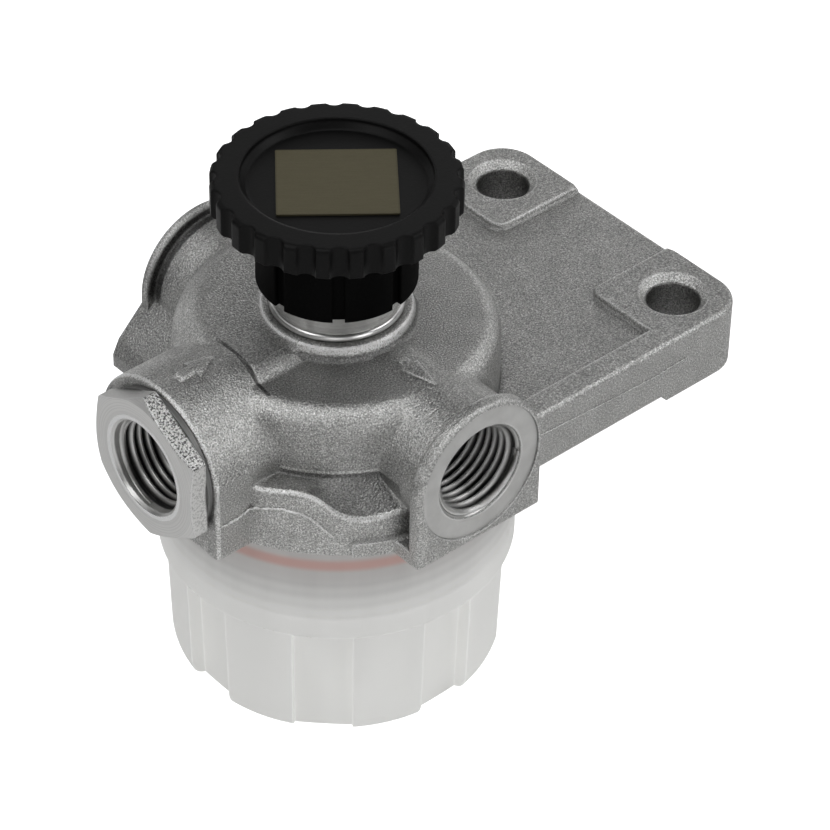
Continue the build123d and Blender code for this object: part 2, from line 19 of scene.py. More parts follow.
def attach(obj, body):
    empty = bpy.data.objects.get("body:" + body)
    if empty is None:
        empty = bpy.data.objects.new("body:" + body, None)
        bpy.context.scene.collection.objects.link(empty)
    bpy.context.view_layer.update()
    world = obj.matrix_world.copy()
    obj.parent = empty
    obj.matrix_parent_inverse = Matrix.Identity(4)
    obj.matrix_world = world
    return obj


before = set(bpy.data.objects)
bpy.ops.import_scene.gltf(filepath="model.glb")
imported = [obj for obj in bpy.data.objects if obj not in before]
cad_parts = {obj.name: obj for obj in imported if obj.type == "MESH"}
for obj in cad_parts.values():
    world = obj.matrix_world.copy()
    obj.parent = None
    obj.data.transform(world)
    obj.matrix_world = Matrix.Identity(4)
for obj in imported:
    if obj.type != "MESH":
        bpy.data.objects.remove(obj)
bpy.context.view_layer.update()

LOG = logging.getLogger("fuel_feed_pump")
MM = 0.001
PORT_HEIGHT = 56.6
PORT_FACE = 35.05
INLET_FACE = 39.6
Socket = bpy.types.NodeSocket
Material = bpy.types.Material
Colour = tuple[float, float, float]
Point = tuple[float, float, float]


class Body(Enum):
    """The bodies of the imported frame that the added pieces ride."""

    HEAD = "head"


class Slot(Enum):
    """The finish slots that the added pieces carry."""

    CAST = "cast_head"
    STEEL = "plated_steel"


def operator(operation: str,
             swapped: bool = False) -> Callable[["Signal", "Signal | float"], "Signal"]:
    """Make a method of Signal that runs one Math node.

    Args:
        operation: the node's operation.
        swapped: take the other value first.

    Returns:
        The method.
    """
    def run(self: "Signal", other: "Signal | float") -> "Signal":
        """Run the node on this signal and another value."""
        return self.combine(operation, *((other, self) if swapped else (self, other)))

    return run


class Signal:
    """A number worked out by a shader, used in sums like a float."""

    def __init__(self, bench: "Bench", socket: Socket) -> None:
        """Wrap one output socket of a bench."""
        self.bench = bench
        self.socket = socket

    def combine(self, operation: str, *terms: "Signal | float") -> "Signal":
        """Run one Math node on the terms."""
        node = self.bench.node("ShaderNodeMath", {"operation": operation}, dict(enumerate(terms)))
        return Signal(self.bench, node.outputs[0])

    __add__ = __radd__ = operator("ADD")
    __sub__ = operator("SUBTRACT")
    __rsub__ = operator("SUBTRACT", swapped=True)
    __mul__ = __rmul__ = operator("MULTIPLY")
    __truediv__ = operator("DIVIDE")
    __pow__ = operator("POWER")
    least = operator("MINIMUM")
    most = operator("MAXIMUM")
    angle_to = operator("ARCTAN2")

    def __abs__(self) -> "Signal":
        """Absolute value."""
        return self.combine("ABSOLUTE", self)

    def sine(self) -> "Signal":
        """Sine of the signal in radians."""
        return self.combine("SINE", self)

    def ramp(self, low: float, high: float, start: float = 0.0, end: float = 1.0) -> "Signal":
        """Smooth step from start at low to end at high.

        Args:
            low: value of the signal where the step starts.
            high: value of the signal where the step ends.
            start: result below the step.
            end: result above the step.

        Returns:
            The stepped signal, held between start and end.
        """
        if low > high:
            low, high, start, end = high, low, end, start
        node = self.bench.node("ShaderNodeMapRange",
                               {"interpolation_type": "SMOOTHSTEP", "clamp": True},
                               {0: self, 1: low, 2: high, 3: start, 4: end})
        return Signal(self.bench, node.outputs[0])

    def band(self, middle: float, half: float, soft: float) -> "Signal":
        """One inside middle plus or minus half, falling to zero over soft."""
        return abs(self - middle).ramp(half + soft, half)


class Bench:
    """Builds the node tree of one material."""

    def __init__(self, name: str) -> None:
        """Start an empty material.

        Args:
            name: the material's name.
        """
        self.material = bpy.data.materials.new(name)
        self.material.use_nodes = True
        self.tree = self.material.node_tree
        self.tree.nodes.clear()

    def node(self, kind: str, settings: Mapping[str, object] | None = None,
             values: Mapping[int | str, object] | None = None) -> bpy.types.Node:
        """Add one node.

        Args:
            kind: the node's type name.
            settings: properties that are set before its sockets.
            values: socket index, identifier or name to a number, tuple, socket or Signal.

        Returns:
            The new node.
        """
        made = self.tree.nodes.new(kind)
        for name, value in (settings or {}).items():
            setattr(made, name, value)
        for key, value in (values or {}).items():
            if isinstance(key, int):
                socket = made.inputs[key]
            else:
                same = [s for s in made.inputs if s.identifier == key]
                socket = same[0] if same else made.inputs[key]
            if isinstance(value, Signal):
                value = value.socket
            if isinstance(value, Socket):
                self.tree.links.new(value, socket)
            elif isinstance(value, tuple) and socket.type == "RGBA":
                socket.default_value = (*value, 1.0)
            else:
                socket.default_value = value
        return made

    def point(self, of: bpy.types.Object | None = None) -> Socket:
        """The place in millimetres, in the shaded piece's own space or in another object's."""
        place = self.node("ShaderNodeTexCoord", {"object": of}).outputs["Object"]
        return self.stretch(place, (1 / MM, 1 / MM, 1 / MM))

    def split(self, vector: Socket) -> tuple[Signal, Signal, Signal]:
        """The three parts of a vector."""
        parts = self.node("ShaderNodeSeparateXYZ", None, {0: vector})
        return tuple(Signal(self, socket) for socket in parts.outputs)

    def stretch(self, vector: Socket, by: Point) -> Socket:
        """The vector multiplied part by part."""
        node = self.node("ShaderNodeVectorMath", {"operation": "MULTIPLY"}, {0: vector, 1: by})
        return node.outputs[0]

    def join(self, x: Signal | float, y: Signal | float, z: Signal | float) -> Socket:
        """A vector from three parts."""
        return self.node("ShaderNodeCombineXYZ", None, {0: x, 1: y, 2: z}).outputs[0]

    def noise(self, point: Socket, size: float, detail: float = 2.0,
              roughness: float = 0.5) -> Signal:
        """Cloudy noise around 0.5.

        Args:
            point: where it is read, in millimetres.
            size: width of its largest features in millimetres.
            detail: number of finer octaves.
            roughness: strength of the finer octaves.

        Returns:
            The noise as a signal.
        """
        node = self.node("ShaderNodeTexNoise", None,
                         {"Vector": point, "Scale": 1 / size, "Detail": detail,
                          "Roughness": roughness})
        return Signal(self, node.outputs[0])

    def cells(self, point: Socket, size: float) -> Signal:
        """Distance to the nearest of scattered points, about one cell size apart."""
        node = self.node("ShaderNodeTexVoronoi", None, {"Vector": point, "Scale": 1 / size})
        return Signal(self, node.outputs[0])

    def blend(self, factor: Signal | float, first: object, second: object) -> object:
        """Colour between two colours or colour sockets."""
        values = {"Factor_Float": factor, "A_Color": first, "B_Color": second}
        return self.node("ShaderNodeMix", {"data_type": "RGBA"}, values).outputs[2]

    def grey(self, value: Signal) -> Socket:
        """A neutral colour of that value."""
        return self.node("ShaderNodeCombineColor", None, {0: value, 1: value, 2: value}).outputs[0]

    def tint(self, colour: Colour, value: Signal) -> Socket:
        """Scale a colour by a signal.

        Args:
            colour: the colour.
            value: what it is multiplied by.

        Returns:
            The scaled colour.
        """
        node = self.node("ShaderNodeMix", {"data_type": "RGBA", "blend_type": "MULTIPLY"},
                         {"Factor_Float": 1.0, "A_Color": colour, "B_Color": self.grey(value)})
        return node.outputs[2]

    def soft_edges(self, radius: float) -> Socket:
        """The surface normal with edges and corners rounded to a radius in millimetres."""
        return self.node("ShaderNodeBevel", {"samples": 6}, {"Radius": radius * MM}).outputs[0]

    def find_edges(self, softened: Socket) -> Signal:
        """Find the edges.

        Args:
            softened: the normal with its edges rounded.

        Returns:
            Zero on flat ground and one where the softened normal turns away.
        """
        flat = self.node("ShaderNodeNewGeometry").outputs["Normal"]
        dot = self.node("ShaderNodeVectorMath", {"operation": "DOT_PRODUCT"},
                        {0: flat, 1: softened})
        return Signal(self, dot.outputs["Value"]).ramp(0.995, 0.88)

    def openness(self, reach: float) -> Signal:
        """How free of other surfaces the place is within a distance in millimetres."""
        node = self.node("ShaderNodeAmbientOcclusion", {"samples": 4}, {"Distance": reach * MM})
        return Signal(self, node.outputs["AO"])

    def between(self, factor: Signal, first: Socket, second: Socket) -> Socket:
        """A direction between two directions."""
        values = {"Factor_Float": factor, "A_Vector": first, "B_Vector": second}
        return self.node("ShaderNodeMix", {"data_type": "VECTOR"}, values).outputs[1]

    def bump(self, height: Signal, distance: float, normal: object = None,
             strength: float = 1.0) -> Socket:
        """Raise the surface by a height.

        Args:
            height: how high each place stands.
            distance: what a height of one means in millimetres.
            normal: the normal that it starts from.
            strength: how much of the raised normal is mixed in.

        Returns:
            The raised surface's normal.
        """
        values = {"Height": height, "Distance": distance * MM, "Strength": strength}
        if normal is not None:
            values["Normal"] = normal
        return self.node("ShaderNodeBump", None, values).outputs[0]

    def gloss(self, values: Mapping[str, object]) -> Socket:
        """A Principled shader that has these sockets set."""
        return self.node("ShaderNodeBsdfPrincipled", None, values).outputs[0]

    def mixed(self, factor: Signal | float, first: Socket, second: Socket) -> Socket:
        """A shader between two shaders."""
        return self.node("ShaderNodeMixShader", None, {0: factor, 1: first, 2: second}).outputs[0]

    def close(self, shader: Socket) -> Material:
        """Close the tree with a shader."""
        self.node("ShaderNodeOutputMaterial", None, {0: shader})
        return self.material


class Along(Enum):
    """The coordinates that marks on the casting are measured along."""

    X = "x"
    Y = "y"
    Z = "z"
    REACH = "reach"
    RHO = "rho"
    DEPTH = "depth"
    BOLT = "bolt"
    INLET = "inlet"
    BENT = "bent"
    LEAN = "lean"


X, Y, Z, REACH, RHO, DEPTH, BOLT, INLET, BENT, LEAN = Along


class Place:
    """The shaded place on the casting in millimetres, by the names of Along."""

    bolt_x = 55.5
    bolt_y = 21.05
    inlet_y = 1.5
    inlet_z = 54.7
    bend = 0.12

    def __init__(self, bench: Bench, point: Socket) -> None:
        """Work out the distances from the pump's, ports', bolts' and inlet boss's axes.

        Args:
            bench: the material's bench.
            point: the place in millimetres.
        """
        self.x, self.y, self.z = bench.split(point)
        self.reach = self.away(self.x, self.y)
        self.rho = self.away(self.x, self.z - PORT_HEIGHT)
        self.depth = PORT_FACE - abs(self.y)
        self.bolt = self.away(self.x - self.bolt_x, abs(self.y) - self.bolt_y)
        self.inlet = self.away(self.y - self.inlet_y, self.z - self.inlet_z)
        self.bent = self.x - self.y.least(0.0) * self.bend
        self.lean: Signal | None = None

    @staticmethod
    def away(first: Signal, second: Signal) -> Signal:
        """Length of a vector with these two parts."""
        return (first * first + second * second) ** 0.5


@dataclass(frozen=True)
class Ramp:
    """A smooth step along one coordinate, from start at low to end at high."""

    along: Along
    low: float
    high: float
    start: float = 0.0
    end: float = 1.0

    def on(self, at: Place) -> Signal:
        """Its value at a place."""
        return getattr(at, self.along.value).ramp(self.low, self.high, self.start, self.end)


@dataclass(frozen=True)
class Band:
    """One within half of the middle of one coordinate, and zero beyond a soft edge."""

    along: Along
    middle: float
    half: float
    soft: float

    def on(self, at: Place) -> Signal:
        """Its value at a place."""
        return getattr(at, self.along.value).band(self.middle, self.half, self.soft)


@dataclass(frozen=True)
class Mark:
    """A painted highlight or painted shade: what a part of the casting gains in tone where all the
    spans overlap.
    """

    gain: float
    spans: tuple[Ramp | Band, ...]


def cover(at: Place, spans: Sequence[Ramp | Band]) -> Signal:
    """Find how far all the spans cover a place.

    Args:
        at: the shaded place.
        spans: the spans, one or more.

    Returns:
        The product of the spans.
    """
    product = spans[0].on(at)
    for span in spans[1:]:
        product = product * span.on(at)
    return product


FACE = (Ramp(RHO, 12.05, 12.0), Ramp(DEPTH, 0.45, 0.35))
BORE = (Ramp(RHO, 8.5, 8.4), Ramp(DEPTH, 20.0, 19.0))
NEAR_DOME = (Band(REACH, 26.4, 1.4, 2.2), Ramp(Z, 55.4, 58.1))
NECK = (Band(RHO, 11.5, 1.4, 2.2), Ramp(X, -19.0, -17.0))
CROWN = (Band(INLET, 14.9, 1.4, 2.2), Ramp(X, -17.0, -19.0))
SHOULDER = (Ramp(REACH, 20.9, 18.9), Ramp(REACH, 12.3, 12.9), Ramp(Z, 65.2, 66.0))
LEDGE = (Ramp(X, -10.9, -11.6), Ramp(Y, -13.0, -13.8))
LEDGE_TOP = Ramp(Z, 47.1, 48.1)
DOME_TOP = Ramp(Z, 66.4, 67.0)
SPARE_BOSS = (Ramp(X, 4.0, 0.0), Ramp(Z, 55.5, 58.0))
# Painted light and shade on the casting by place: a positive gain is a painted highlight, a
# negative gain painted shade.
MARKS = {
    # Painted shade on the ledge's top, painted highlights on the fillet at its back and on its
    # brink, and a lighter painted wall.
    "ledge": (
        Mark(-1.0, (*LEDGE, LEDGE_TOP, Ramp(Z, 56.2, 56.0), Ramp(REACH, 31.0, 30.6),
                    Ramp(LEAN, 0.99, 0.93, -0.2, 0.5))),
        Mark(0.6, (*LEDGE, Band(Z, 56.3, 0.18, 0.22), Ramp(REACH, 27.6, 27.0))),
        Mark(0.6, (*LEDGE, LEDGE_TOP, Ramp(REACH, 30.65, 30.9), Ramp(LEAN, 0.2, 0.45))),
        Mark(0.14, (*LEDGE, Ramp(REACH, 31.2, 31.5), Ramp(LEAN, 0.2, 0.05))),
    ),
    # Painted highlight on the collar's upper flank, painted shade on its lower part.
    "collar flank": (
        Mark(1.0, (Band(REACH, 12.85, 0.75, 0.15), Ramp(Z, 67.5, 67.7),
                   Ramp(LEAN, 0.99, 0.93), Ramp(Z, 68.4, 69.1, -0.45, 1.1))),
    ),
    # A painted dark line of shade along the ridge's end, and painted shade on its slope.
    "ridge's end": (
        Mark(-0.72, (Band(BENT, -20.5, 0.2, 0.22), Ramp(Y, -10.2, -8.4), Ramp(Y, 5.5, 3.0),
                     DOME_TOP)),
    ),
    "ridge's slope": (
        Mark(-1.0, (Band(Y, -5.1, 1.3, 0.2), Ramp(X, -11.0, -11.6), DOME_TOP,
                    Ramp(X, -20.8, -20.4), Ramp(Z, 67.7, 69.4, 0.05, 0.4))),
    ),
    # Painted shade in the spare boss's groove, painted highlight on its brink.
    "spare boss's groove": (Mark(-0.72, (Band(Y, 32.25, 0.65, 0.5), *SPARE_BOSS)),),
    "spare boss's brink": (Mark(0.4, (Band(Y, 33.75, 0.15, 0.3), *SPARE_BOSS)),),
    # Painted shade on the gusset, painted highlight along the inlet boss's brink, painted shade in
    # the bolt holes and in the thread's valleys.
    "gusset": (Mark(-0.3, (Ramp(X, -10.5, -13.5), Ramp(Y, 10.0, 13.0), Ramp(Z, 65.0, 62.0))),),
    "inlet boss's brink": (Mark(0.6, (Band(X, -PORT_FACE, 0.15, 0.25),)),),
    "bolt holes": (Mark(-0.5, (Ramp(BOLT, 4.75, 4.6),)),),
    "thread's valleys": (Mark(-0.8, (*BORE, Ramp(RHO, 7.3, 7.9), Ramp(DEPTH, 0.7, 1.3))),),
}


@dataclass(frozen=True)
class CastAluminium:
    """Shot-blasted aluminium casting with machined port faces and bores, and painted highlights
    and shade.
    """

    name: str = "cast_aluminium"
    tone: float = 0.50
    grain: float = 0.26
    rounding: float = 0.75
    blend_rounding: float = 2.6
    foot_rounding: float = 1.7
    # Reaches of the painted shade in hollows and creases; the crease shade starts at crease_x
    # along X.
    open_reach: float = 5.0
    crease_reach: float = 1.1
    crease_x: float = 8.0

    def normal(self, bench: Bench, at: Place, tight: Socket) -> Socket:
        """Round the edges more where necks, collar and ridge flow into the dome.

        Args:
            bench: the material's bench.
            at: the shaded place.
            tight: the normal with its edges rounded a little.

        Returns:
            The softened normal.
        """
        meets = cover(at, NECK) + cover(at, CROWN)
        soft = bench.between(cover(at, NEAR_DOME) * meets, tight,
                             bench.soft_edges(self.blend_rounding))
        return bench.between(cover(at, SHOULDER), soft, bench.soft_edges(self.foot_rounding))

    def shade(self, bench: Bench, at: Place, edge_mask: Signal) -> Signal:
        """Work out the painted light and shade of the casting at large.

        Args:
            bench: the material's bench.
            at: the shaded place, with its lean.
            edge_mask: one on the piece's edges.

        Returns:
            The tone that the casting's own is multiplied by.
        """
        # Painted highlight on fillets and sloped faces, painted shade on level tops.
        fillet_highlight = at.lean.ramp(0.3, 0.6) * at.lean.ramp(0.98, 0.88)
        shade = 1.0 + fillet_highlight * 0.3 - at.lean.ramp(0.95, 0.99) * 0.12
        # The painted highlights and painted shade of MARKS, one group at a time.
        for marks in MARKS.values():
            tone: Signal | float = 1.0
            for mark in marks:
                tone = cover(at, mark.spans) * mark.gain + tone
            shade = shade * tone
        # Painted shade in creases on the plate's part and in hollows at large; painted highlight
        # on convex edges, with some wear polish.
        crease = bench.openness(self.crease_reach)
        crease_shade = crease.ramp(0.9, 0.45) * at.x.ramp(self.crease_x, self.crease_x + 5.0)
        brink = edge_mask * crease.ramp(0.8, 0.97)
        shade = shade * bench.openness(self.open_reach).ramp(0.35, 0.95, 0.7, 1.0)
        return shade * (1.0 - crease_shade * 0.75) * (1.0 + brink * 0.65)

    def build(self) -> Material:
        """Make the material.

        Returns:
            The material.
        """
        bench = Bench(self.name)
        point = bench.point()
        at = Place(bench, point)
        cut = cover(at, FACE).most(cover(at, BORE))
        tight = bench.soft_edges(self.rounding)
        edge_mask = bench.find_edges(tight)
        soft = self.normal(bench, at, tight)
        at.lean = bench.split(soft)[2]
        fine = bench.noise(point, self.grain, 2.0, 0.6)
        pits = bench.cells(point, self.grain * 1.6)
        cloud = bench.noise(point, 5.0, 3.0, 0.6)
        height = (fine * 1.1 + pits * 0.5) * (1.0 - cut * 0.93) + cloud * 0.9
        spark = fine.ramp(0.56, 0.7)
        speck = (fine.ramp(0.3, 0.65, 0.55, 1.3) + spark * 0.55) * (1.0 - cut) + cut * 1.3
        value = speck * cloud.ramp(0.3, 0.7, 0.93, 1.07) * self.shade(bench, at, edge_mask)
        return bench.close(bench.gloss({
            "Base Color": bench.tint((1.0, 0.998, 0.978), value * self.tone), "Metallic": 0.92,
            "Roughness": 0.35 - edge_mask * 0.06 + cut * 0.03 - spark * 0.06,
            "Normal": bench.bump(height, 0.2, soft, 0.65),
        }))


@dataclass(frozen=True)
class Skin:
    """A metal's surface at the shaded place."""

    point: Socket
    soft: Socket
    rho: Signal
    value: Signal
    roughness: Signal
    height: Signal


@dataclass(frozen=True)
class TurnedSteel:
    """Bright turned or plated steel with fine tool rings round one axis."""

    name: str
    tone: float = 0.72
    roughness: float = 0.3
    rounding: float = 0.3
    across: bool = False
    ring_pitch: float = 0.12
    ring_depth: float = 0.012
    shade_reach: float = 7.0

    def worked(self, bench: Bench, skin: Skin) -> Skin:
        """The skin after further cuts, of which plain turned steel has none."""
        return skin

    def build(self) -> Material:
        """Make the material, turned about Z or, if across, about the inlet's axis.

        Returns:
            The material.
        """
        bench = Bench(self.name)
        point = bench.point()
        x, y, z = bench.split(point)
        rho, along = Place.away(x, y), z
        if self.across:
            rho, along = Place.away(y, z - PORT_HEIGHT), x
        wobble = bench.noise(point, 3.0, 2.0, 0.5)
        rings = ((rho + along) * (2 * math.pi / self.ring_pitch) + wobble * 4.0).sine()
        smear = bench.noise(bench.join(rho * 6.0, along * 6.0, 0.0), 1.0, 3.0, 0.6)
        value = smear.ramp(0.3, 0.7, 0.9, 1.06) * self.tone
        # Painted shade where other surfaces are near.
        value = value * bench.openness(self.shade_reach).ramp(0.2, 0.8, 0.35, 1.0)
        skin = self.worked(bench, Skin(
            point, bench.soft_edges(self.rounding), rho, value,
            smear * 0.16 + (self.roughness - 0.08), rings * self.ring_depth + smear * 0.35))
        return bench.close(bench.gloss({
            "Base Color": bench.tint((1.0, 0.996, 0.98), skin.value), "Metallic": 0.95,
            "Roughness": skin.roughness, "Normal": bench.bump(skin.height, 0.02, skin.soft, 0.7),
        }))


@dataclass(frozen=True)
class HexagonSteel(TurnedSteel):
    """The adapter's plated steel, bored and countersunk, with one flat left as sawn."""

    bore_radius: float = 8.44
    thread_crest: float = 7.3
    thread_root: float = 7.85
    mouth_x: float = -38.0
    mouth_radius: float = 8.8
    mouth_half: float = 0.35
    flat: float = 11.7
    corner_radius: float = 10.0
    fleck: float = 0.34

    def bored(self, x: Signal, skin: Skin) -> Skin:
        """Paint shade into the thread's valleys and a highlight on the countersink.

        Args:
            x: place along the bore in millimetres.
            skin: the turned skin.

        Returns:
            The skin of the bored adapter.
        """
        # Painted shade in the thread's valleys, painted highlight on the countersink.
        inside = skin.rho.ramp(self.bore_radius + 0.02, self.bore_radius - 0.02)
        inside = inside * x.ramp(self.mouth_x, self.mouth_x + 0.4)
        valley = inside * skin.rho.ramp(self.thread_crest, self.thread_root, 0.0, 0.9)
        mouth = skin.rho.band(self.mouth_radius, self.mouth_half, 0.1)
        mouth = mouth * x.ramp(self.mouth_x + 0.1, self.mouth_x - 0.1)
        return replace(skin, value=(skin.value * (1.0 - valley)).most(mouth * 1.1),
                       roughness=skin.roughness - mouth * 0.14)

    def worked(self, bench: Bench, skin: Skin) -> Skin:
        """Bore the adapter, saw one flat, fleck the lowest flat as worn and paint highlights on
        the outer edges.

        Args:
            bench: the material's bench.
            skin: the turned skin.

        Returns:
            The adapter's skin.
        """
        x, y, z = bench.split(skin.point)
        skin = self.bored(x, skin)
        fleck = bench.noise(skin.point, self.fleck, 2.0, 0.6)
        lean = math.radians(30)
        reach = y * -math.sin(lean) + (z - PORT_HEIGHT) * math.cos(lean)
        sawn = reach.ramp(self.flat - 0.08, self.flat + 0.08)
        worn = y.ramp(-self.flat, -self.flat - 0.2)
        # Painted highlight on the outer edges.
        edge = bench.find_edges(skin.soft).ramp(0.1, 0.6, 0.0, 1.1)
        edge = edge * skin.rho.ramp(self.corner_radius - 0.5, self.corner_radius + 0.5)
        value = skin.value * (1.0 - worn * fleck.ramp(0.48, 0.62, 0.0, 0.3)) * (1.0 - sawn)
        value = value + fleck.ramp(0.38, 0.56, 0.12, 1.0) * sawn
        return replace(skin, value=value.most(edge),
                       roughness=skin.roughness * (1.0 - sawn) + sawn * 0.38,
                       height=skin.height * (1.0 - sawn) + fleck * sawn * 9.0)


@dataclass(frozen=True)
class Moulding:
    """A moulded plastic or rubber with a faint grain."""

    name: str
    colour: Colour
    roughness: float = 0.4
    grain: float = 0.4
    depth: float = 0.02
    rounding: float = 0.35
    specular: float = 0.5
    matt_below: float = 0.0

    def build(self) -> Material:
        """Make the material.

        Returns:
            The material.
        """
        bench = Bench(self.name)
        point = bench.point()
        fine = bench.noise(point, self.grain, 3.0, 0.6)
        cloud = bench.noise(point, 6.0, 2.0, 0.5)
        soft = bench.soft_edges(self.rounding)
        value = fine.ramp(0.3, 0.7, 0.94, 1.06) * cloud.ramp(0.3, 0.7, 0.92, 1.08)
        colour = bench.tint(self.colour, value)
        normal = bench.bump(fine, self.depth, soft, 0.6)
        values = {
            "Base Color": colour, "Roughness": (cloud - 0.5) * 0.12 + self.roughness,
            "Specular IOR Level": self.specular, "Normal": normal,
        }
        glossy = bench.gloss(values)
        if not self.matt_below:
            return bench.close(glossy)
        matt = bench.gloss({**values, "Roughness": 1.0, "Specular IOR Level": 0.0})
        low = bench.split(point)[2].ramp(self.matt_below + 0.3, self.matt_below - 0.3, 0.0, 0.8)
        return bench.close(bench.mixed(low, glossy, matt))


@dataclass(frozen=True)
class MilkyPlastic:
    """The bowl's milky polypropylene, with a painted glow and what shows through its upper wall.

    What shows through, the painted shade of the head's collar and its red seal, belongs to the
    head, so it is read in the head's space and stays behind when the bowl is unscrewed.
    """

    colour: Colour = (0.905, 0.905, 0.89)
    seal_colour: Colour = (0.62, 0.3, 0.25)
    # Painted glow: emission that stands in for the light passing through the milky wall.
    glow: float = 0.2
    through: float = 0.35
    seal_height: float = 39.8
    seal_half: float = 0.3
    seal_blur: float = 1.4
    seal_share: float = 0.75
    thread_top: float = 36.0
    thread_foot: float = 28.3
    thread_pitch: float = 2.4
    band_foot: float = 24.0

    def behind(self, bench: Bench, point: Socket) -> Signal:
        """The shade of the head's threaded collar through the wall.

        Args:
            bench: the material's bench.
            point: the place in the head's space, in millimetres.

        Returns:
            The shade, one below the collar.
        """
        x, y, z = bench.split(point)
        turn = y.angle_to(x) * (self.thread_pitch / (2 * math.pi))
        wave = ((z - turn) * (2 * math.pi / self.thread_pitch)).sine()
        zone = z.ramp(self.thread_foot - 0.7, self.thread_foot + 0.2)
        top = z.ramp(self.thread_top + 0.5, self.thread_top - 0.5)
        depth = z.ramp(self.thread_foot - 1.0, self.thread_top + 2.0, 0.04, 0.35)
        return 1.0 - zone * (depth + top * wave * 0.035)

    def wall(self, bench: Bench, point: Socket) -> Signal:
        """The lighter and darker lines that ride with the wall.

        Args:
            bench: the material's bench.
            point: the place in the bowl's space, in millimetres.

        Returns:
            The shade, one on the plain lower wall.
        """
        x, y, z = bench.split(point)
        # A lighter line near the threads' foot and a ragged darker line at the band's foot.
        step = 1.0 + z.band(self.thread_foot - 0.5, 0.15, 0.5) * 0.06
        ragged = bench.noise(bench.join(y.angle_to(x) * 30.0, 0.0, 0.0), 1.6, 3.0, 0.7)
        dark_line = z.band(self.band_foot + 0.1, 0.06, 0.12) * ragged.ramp(0.48, 0.58)
        return step * (1.0 - dark_line * 0.3)

    def build(self) -> Material:
        """Make the material.

        Returns:
            The material.
        """
        bench = Bench("milky_plastic")
        point = bench.point()
        fixed = bench.point(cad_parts["pump_head"])
        z = bench.split(fixed)[2]
        cloud = bench.noise(point, 9.0, 3.0, 0.55)
        streak = bench.noise(bench.stretch(point, (1.0, 1.0, 0.1)), 3.0, 2.0, 0.5)
        soft = bench.soft_edges(0.45)
        edge_mask = bench.find_edges(soft)
        # Painted shade of the collar behind the wall, and painted highlights along the panels'
        # edges.
        shade = self.behind(bench, fixed) * self.wall(bench, point) * (1.0 + edge_mask * 0.1)
        shade = shade * cloud.ramp(0.3, 0.7, 0.975, 1.02) * streak.ramp(0.3, 0.7, 0.97, 1.03)
        red = z.band(self.seal_height, self.seal_half, self.seal_blur) * self.seal_share
        lit = bench.blend(red, bench.tint(self.colour, shade), self.seal_colour)
        # The emission is a painted glow, brighter along the edges as painted highlights.
        edge = bench.blend(red, bench.tint(self.colour, shade * (1.0 + edge_mask * 1.5)),
                           self.seal_colour)
        solid = bench.gloss({
            "Base Color": lit, "Roughness": 0.34, "IOR": 1.45,
            "Emission Color": edge, "Emission Strength": self.glow,
            "Normal": bench.bump(cloud, 0.05, soft, 0.3),
        })
        through = bench.node("ShaderNodeBsdfTranslucent", None, {
            "Color": (0.97, 0.97, 0.97), "Normal": soft,
        })
        return bench.close(bench.mixed(self.through, solid, through.outputs[0]))


@dataclass(frozen=True)
class WovenMesh:
    """Fine wire cloth."""

    pitch: float = 0.5
    radius: float = 11.2

    def build(self) -> Material:
        """Make the material.

        Returns:
            The material.
        """
        bench = Bench("woven_mesh")
        point = bench.point()
        x, y, z = bench.split(point)
        around = y.angle_to(x) * (self.radius * 2 * math.pi / self.pitch)
        weft = (z * (2 * math.pi / self.pitch)).sine()
        warp = around.sine()
        wires = abs(weft).most(abs(warp))
        return bench.close(bench.gloss({
            "Base Color": bench.tint((0.62, 0.61, 0.58), wires.ramp(0.2, 0.9, 0.3, 1.0)),
            "Metallic": 0.9, "Roughness": 0.4, "Alpha": wires.ramp(0.45, 0.6),
            "Normal": bench.bump(wires, 0.1),
        }))


@dataclass(frozen=True)
class LabelFoil:
    """The bare label: a flat olive foil with a fine printed frame line."""

    colour: Colour = (0.112, 0.1, 0.058)
    width: float = 19.1
    depth: float = 17.1
    facing: float = 231.0

    def build(self) -> Material:
        """Make the material.

        Returns:
            The material.
        """
        bench = Bench("label_foil")
        point = bench.point()
        turned = bench.node("ShaderNodeVectorRotate", {"rotation_type": "Z_AXIS"},
                            {"Vector": point, "Angle": math.radians(270 - self.facing)})
        across, along, _ = bench.split(turned.outputs[0])
        grain = bench.noise(point, 0.25, 3.0, 0.6)
        brushed = bench.noise(bench.stretch(turned.outputs[0], (0.2, 3.0, 1.0)), 0.6, 2.0, 0.5)
        rim = (abs(across) - self.width / 2).most(abs(along) - self.depth / 2)
        shade = grain.ramp(0.3, 0.7, 0.95, 1.05) * brushed.ramp(0.3, 0.7, 0.96, 1.04)
        shade = shade * rim.ramp(-0.35, -0.15, 1.0, 0.8)
        return bench.close(bench.gloss({
            "Base Color": bench.tint(self.colour, shade), "Metallic": 0.15,
            "Roughness": grain * 0.1 + 0.4, "Specular IOR Level": 0.25,
            "Normal": bench.bump(grain + brushed, 0.01),
        }))


@dataclass(frozen=True)
class StudioFloor:
    """The plain pale floor."""

    name: str = "studio_floor"
    tone: float = 0.9
    glow: float = 1.0

    def build(self) -> Material:
        """Make the material.

        Returns:
            The material.
        """
        bench = Bench(self.name)
        cloud = bench.noise(bench.point(), 60.0, 2.0, 0.5)
        value = cloud.ramp(0.3, 0.7, self.tone - 0.005, self.tone + 0.005)
        return bench.close(bench.gloss({
            "Base Color": bench.grey(value), "Roughness": 0.8, "Specular IOR Level": 0.1,
            "Emission Color": (1.0, 1.0, 1.0), "Emission Strength": self.glow,
        }))


